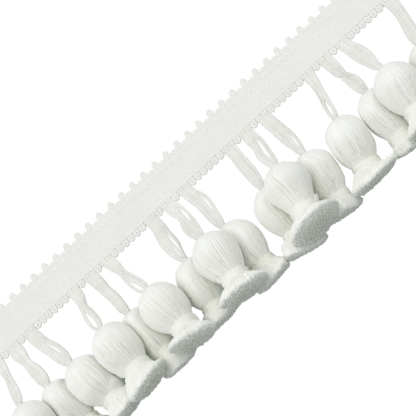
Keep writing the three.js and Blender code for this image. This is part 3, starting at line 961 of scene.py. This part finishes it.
def make_hanger(index):
    """A flat bundle of yarns side by side, some crossed, gathered for the knot."""
    row = HANGERS[index]
    t = np.linspace(0, 1, HANGER_STEPS)
    middle = hanger_line(index, t)
    wide, thick = hanger_directions(index, middle, t)
    slot = np.linspace(-1, 1, HANGER_YARNS)[:, None]
    wave = random.uniform(-1, 1, (HANGER_YARNS, 3))
    mirrored = wave + wave[::-1]
    gather = ease(t, *GATHER)

    # Yarns change places in mirrored pairs, each pair at a time of its own.
    since = t - CROSSING_AT + CROSSING_SPAN / 2 + CROSSING_SPREAD * mirrored[:, :1]
    swap = row.get("turn", 0) * smooth_step(since / CROSSING_SPAN) * (mirrored[:, 1:2] > 0)
    over = CROSSING_LIFT * np.sin(np.pi * swap) * np.sign(slot)
    place = slot * (1 - 2 * swap) * (1 - GATHER_NARROWS * gather)

    aside, taken = slits_between(row.get("slits", []), slot, t)
    width = along_hanger(row["widths"], HANGER_WIDTH, KNOT_WIDTH, t) - taken
    ripple = RIPPLE * np.sin(2 * np.pi * (t + wave[:, 2:])) * np.sin(np.pi * t) * (1 - slot**2)
    x = place * (width / 2 - HANGER_YARN_RADIUS) + ripple + aside
    x = x + along_hanger(row["sways"], 0.0, 0.0, t)
    layer = np.where(np.arange(HANGER_YARNS) % 2, 1, -1)[:, None]
    layer = layer * np.sqrt(1 - LAYERS_CLOSE * slot**2)
    hollow = HOLLOW * wave[:, :1] * np.sin(np.pi * t) * (1 - gather)
    z = (hollow + GATHER_THICKENS * layer * gather) * HANGER_THICKNESS / 2 + over

    lines = middle + x[..., None] * wide + z[..., None] * thick
    lines[..., 2] = np.maximum(lines[..., 2], HANGER_YARN_RADIUS)
    tone = random.uniform(0, 1, HANGER_YARNS)
    yarns = sweep(lines, HANGER_YARN_RADIUS, thick, YARN_SIDES, tone)
    stand_for("hanger", "yarns", index, [yarns])


# -------- heading

UPWARD = (0.0, 0.0, 1.0)
MID_HEIGHT = HEADING_THICKNESS / 2

WEFT_PITCH = SCALLOP_PITCH / 2
WEFT_RADIUS = 0.42
WEFT_FLATNESS = 0.45
PLY_OFFSET = 0.22
PLY_LIFT = 0.02
PLY_TONES = (0.3, 0.7)
LOOP_STEPS = 7
END_INSET = 0.3

# A pass of the weft leans to +X on its way up. How far its scallop stands in from the
# band's edge: where a hanger leaves, and otherwise.
PASS_LEAN = 0.4
PASS_LOW = -2.5
PASS_HIGH = 2.0
PASS_TOP_INSET = 0.3
SCALLOP_BY_HANGER = 0.5
SCALLOP_REACH = (-0.5, -0.4)
PLAIN_LOOP_RISE = 0.5

# A picot: its foot's half width and height, where it is round, as shares of its half
# width and depths below the tip, and how far tips lean and reach.
PICOT_FOOT = (0.9, 0.6)
PICOT_ROUND = [(-1.0, 1.1), (-0.5, 0.15), (0.0, 0.0), (0.5, 0.15), (1.0, 1.1)]
PICOT_LEAN = 0.12
PICOT_REACH = (0.15, 0.45)

# The yarn that fills a loop: where it starts and stops across the band, and its radius.
PICOT_HEART = (BAND_EDGE - 1.0, BAND_EDGE + PICOT_HEIGHT - 0.5, 0.6)
SCALLOP_HEART = (-BAND_EDGE + 0.75, -BAND_EDGE + 2.6, 0.45)
HEART_STEPS = 4

WARP_PITCH = 0.36
WARP_RADIUS = 0.38
WARP_FLATNESS = 0.55
WARP_RAISE = 0.05
WARP_WAVE = 0.08
WARP_LAG = 0.15
WARP_SWAY = 0.04
WARP_SWAY_PER_MM = 0.31
WARP_STEPS_PER_PASS = 3
WARP_LOW = -4.1
WARP_COUNT = 29

# The ground: a thin strip inside the weave, so that no light comes through it.
GROUND_LOW = -BAND_EDGE + 0.45
GROUND_HIGH = BAND_EDGE - 0.35
GROUND_BEVEL = 0.4
GROUND_HEIGHT = 0.68
GROUND_HALF = 0.04
GROUND_TONE = 0.8


def middles_of(count, pitch):
    return (np.arange(count) + 0.5) * pitch - TRIM_LENGTH / 2


def in_slot(x):
    """Whether a hanger leaves the heading at x."""
    return any(abs(hanger_top_x(i) - x) < SCALLOP_PITCH for i in range(len(TASSELS)))


def weft_route():
    """One line through all the passes of the weft, its scallops and its picots."""
    turn = WEFT_PITCH / 2
    bottom = -BAND_EDGE + WEFT_RADIUS + PLY_OFFSET + turn
    top = BAND_EDGE - WEFT_RADIUS - PLY_OFFSET - turn
    picot_tip = BAND_EDGE + PICOT_HEIGHT - WEFT_RADIUS - PLY_OFFSET
    picot_half = PICOT_WIDTH / 2 - WEFT_RADIUS - PLY_OFFSET
    foot, foot_rise = PICOT_FOOT
    bend = np.linspace(0, np.pi, LOOP_STEPS)
    leaning = [(0.0, PASS_LOW), (PASS_LEAN, PASS_HIGH), (2 * PASS_LEAN, top - PASS_TOP_INSET)]
    points = []
    for i, middle in enumerate(middles_of(SCALLOPS, SCALLOP_PITCH)):
        low = bottom + (SCALLOP_BY_HANGER if in_slot(middle) else random.uniform(*SCALLOP_REACH))
        points += [(middle - turn + shift, y) for shift, y in leaning[::-1]]
        points += [(middle - turn * math.cos(a), low - turn * math.sin(a)) for a in bend]
        points += [(middle + turn + shift, y) for shift, y in leaning]
        loop = middle + 2 * turn + PICOT_OFFSET
        if i % 2 == 0:
            lean = random.uniform(-PICOT_LEAN, PICOT_LEAN)
            tip = picot_tip + random.uniform(*PICOT_REACH)
            points.append((loop - foot, top + foot_rise))
            points += [(loop + share * picot_half + lean, tip - depth)
                       for share, depth in PICOT_ROUND]
            points.append((loop + foot, top + foot_rise))
        else:
            high = top + PLAIN_LOOP_RISE
            points += [(loop - turn * math.cos(a), high + turn * math.sin(a)) for a in bend]
    return np.array(points)


def hearts(middles, start, stop, radius):
    """Short lengths of yarn across the band that fill its loops."""
    lines = np.zeros((len(middles), HEART_STEPS, 3))
    lines[..., 0] = np.array(middles)[:, None]
    lines[..., 1] = np.linspace(start, stop, HEART_STEPS)
    lines[..., 2] = MID_HEIGHT
    return sweep(lines, radius, UPWARD, YARN_SIDES, 0.5, 0.0, WEFT_FLATNESS)


def make_weft():
    """Two plies side by side on one route, with the hearts of their loops."""
    centre = weft_route()
    inside = TRIM_LENGTH / 2 - END_INSET
    centre[:, 0] = np.clip(centre[:, 0], -inside, inside)
    sense = unit(np.gradient(centre, axis=0))
    left = np.stack([-sense[:, 1], sense[:, 0]], axis=1)
    plies = []
    for side in (-1, 1):
        flat = centre + side * PLY_OFFSET * left
        height = MID_HEIGHT + random.uniform(-PLY_LIFT, PLY_LIFT, len(flat))
        plies.append(np.column_stack([flat, height]))
    tones = np.array(PLY_TONES)
    passes = sweep(np.array(plies), WEFT_RADIUS, UPWARD, YARN_SIDES, tones, 0.0, WEFT_FLATNESS)
    picots = middles_of(PICOTS, PICOT_PITCH) + PICOT_OFFSET
    scallops = [x for x in middles_of(SCALLOPS, SCALLOP_PITCH) if not in_slot(x)]
    parts = [passes, hearts(picots, *PICOT_HEART), hearts(scallops, *SCALLOP_HEART)]
    return make_piece("heading_weft", parts, YARN["heading"])


def make_warp():
    """The yarns that run along the band, over and under the passes of the weft."""
    steps = round(TRIM_LENGTH / WEFT_PITCH) * WARP_STEPS_PER_PASS + 1
    x = np.linspace(-TRIM_LENGTH / 2, TRIM_LENGTH / 2, steps)
    warps = []
    for j in range(WARP_COUNT):
        phase = 0.5 * np.pi + WARP_LAG * j
        height = MID_HEIGHT + WARP_RAISE + WARP_WAVE * np.sin(2 * np.pi * x / WEFT_PITCH + phase)
        y = WARP_LOW + j * WARP_PITCH + WARP_SWAY * np.sin(x * WARP_SWAY_PER_MM + j)
        warps.append(np.column_stack([x, y, height]))
    tones = random.uniform(0, 1, WARP_COUNT)
    yarns = sweep(np.array(warps), WARP_RADIUS, UPWARD, YARN_SIDES, tones, 0.0, WARP_FLATNESS)
    return make_piece("heading_warp", [yarns], YARN["heading"])


def make_ground():
    columns = 2 * SCALLOPS + 1
    along = np.linspace(0, TRIM_LENGTH, columns)
    low, high = GROUND_LOW + GROUND_BEVEL, GROUND_HIGH - GROUND_BEVEL
    under, over = GROUND_HEIGHT - GROUND_HALF, GROUND_HEIGHT + GROUND_HALF
    section = np.array([(GROUND_LOW, GROUND_HEIGHT), (low, under), (high, under),
                        (GROUND_HIGH, GROUND_HEIGHT), (high, over), (low, over)])
    rings = np.zeros((1, columns, len(section), 3))
    rings[0, :, :, 0] = along[:, None] - TRIM_LENGTH / 2
    rings[0, :, :, 1:] = section
    strip = tubes(rings, along[None], GROUND_TONE)
    return make_piece("heading_ground", [strip], YARN["heading"])


def make_heading():
    weft = make_weft()
    warp = make_warp()
    ground = make_ground()
    for piece in (ground, warp, weft):
        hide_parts("heading")


# -------- camera and floor

# In degrees and millimetres: nearly overhead and a little towards the tassels, rolled so
# that the trim runs from the lower left to the upper right.
CAMERA_TILT = 13.0
CAMERA_SWING = 4.0
CAMERA_ROLL = 42.7
CAMERA_DISTANCE = 400.0
CAMERA_TARGET = (-7.6, -16.05, 5.0)
CAMERA_LENS = 111.7

# The floor lies a hair under the trim.
FLOOR_REACH = 1500.0
FLOOR_HEIGHT = -0.05


def place_camera():
    tilt, swing, roll = (math.radians(a) for a in (CAMERA_TILT, CAMERA_SWING, CAMERA_ROLL))
    away = Vector((math.sin(swing), -math.sin(tilt) * math.cos(swing),
                   math.cos(tilt) * math.cos(swing)))
    along_x = (Vector((1, 0, 0)) - away * away.x).normalized()
    along_y = away.cross(along_x)
    right = math.cos(roll) * along_x - math.sin(roll) * along_y
    up = math.sin(roll) * along_x + math.cos(roll) * along_y
    place = (Vector(CAMERA_TARGET) + CAMERA_DISTANCE * away) * MM
    turn = Matrix((right, up, away)).transposed()
    camera = add_object("camera", bpy.data.cameras.new("camera"))
    camera.data.lens = CAMERA_LENS
    camera.data.sensor_width = 36.0
    camera.data.clip_start = 10.0 * MM
    camera.matrix_world = Matrix.Translation(place) @ turn.to_4x4()
    bpy.context.scene.camera = camera


def make_floor():
    """Plain paper that glows a little less than white, as on a light table."""
    mesh = bpy.data.meshes.new("floor")
    corners = [(-1, -1), (1, -1), (1, 1), (-1, 1)]
    corners = [(x * FLOOR_REACH * MM, y * FLOOR_REACH * MM, FLOOR_HEIGHT * MM) for x, y in corners]
    mesh.from_pydata(corners, [], [(0, 1, 2, 3)])
    material = bpy.data.materials.new("floor_paper")
    material.use_nodes = True
    feed(material.node_tree.nodes["Principled BSDF"], {
        "Base Color": (0.10, 0.10, 0.10, 1),
        "Roughness": 0.9,
        "Specular IOR Level": 0.1,
        "Emission Color": (1.0, 1.0, 1.0, 1),
        "Emission Strength": 0.97,
    })
    mesh.materials.append(material)
    floor = add_object("floor", mesh)
    floor.visible_diffuse = False
    floor.visible_glossy = False


# -------- light

# The studio is bright above and behind the heading, and dim below and before the tassels.
# STUDIO_EDGE is where it changes, as the share of a direction that is towards the side.
STUDIO_SIDE = (-0.08, 0.42, 0.90)
STUDIO_EDGE = (-0.25, 0.4)
STUDIO_LIGHT = (0.785, 0.79, 0.80)
BENCH_LIGHT = (0.172, 0.224, 0.219)

# One wide lamp stands behind the heading. Light goes on through pale yarn many times.
LAMP_SIDE = (-0.22, 0.55, 0.80)
LAMP_STRENGTH = 0.93
LAMP_COLOUR = (0.985, 0.99, 1.0)
LAMP_SPREAD = 60
BOUNCES = 16


def make_studio():
    """A bright studio over a dim bench."""
    world = bpy.data.worlds.new("studio")
    world.use_nodes = True
    tree = world.node_tree
    place = add_node(tree, "ShaderNodeTexCoord", {}).outputs["Generated"]
    facing = add_node(tree, "ShaderNodeVectorMath", {0: place, 1: STUDIO_SIDE},
                      operation="DOT_PRODUCT")
    low, high = STUDIO_EDGE
    edge = {"Value": facing.outputs["Value"], "From Min": low, "From Max": high}
    share = add_node(tree, "ShaderNodeMapRange", edge).outputs["Result"]
    colour = mixed(share, (*BENCH_LIGHT, 1), (*STUDIO_LIGHT, 1))
    feed(tree.nodes["Background"], {"Color": colour, "Strength": 1.0})
    bpy.context.scene.world = world


def make_lamp():
    """One wide soft light from behind the heading."""
    light = bpy.data.lights.new("key", "SUN")
    light.energy = LAMP_STRENGTH
    light.angle = math.radians(LAMP_SPREAD)
    light.color = LAMP_COLOUR
    lamp = add_object("key", light)
    towards = Vector(LAMP_SIDE).normalized()
    lamp.rotation_euler = towards.to_track_quat("Z", "Y").to_euler()


# -------- everything

place_camera()
make_floor()
make_studio()
make_lamp()
bpy.context.scene.cycles.diffuse_bounces = BOUNCES
bpy.context.scene.cycles.max_bounces = BOUNCES
bpy.context.scene.view_settings.view_transform = "Standard"
make_heading()
for tassel_index in range(len(TASSELS)):
    make_hanger(tassel_index)
    make_tassel(tassel_index)
    make_tie(tassel_index)
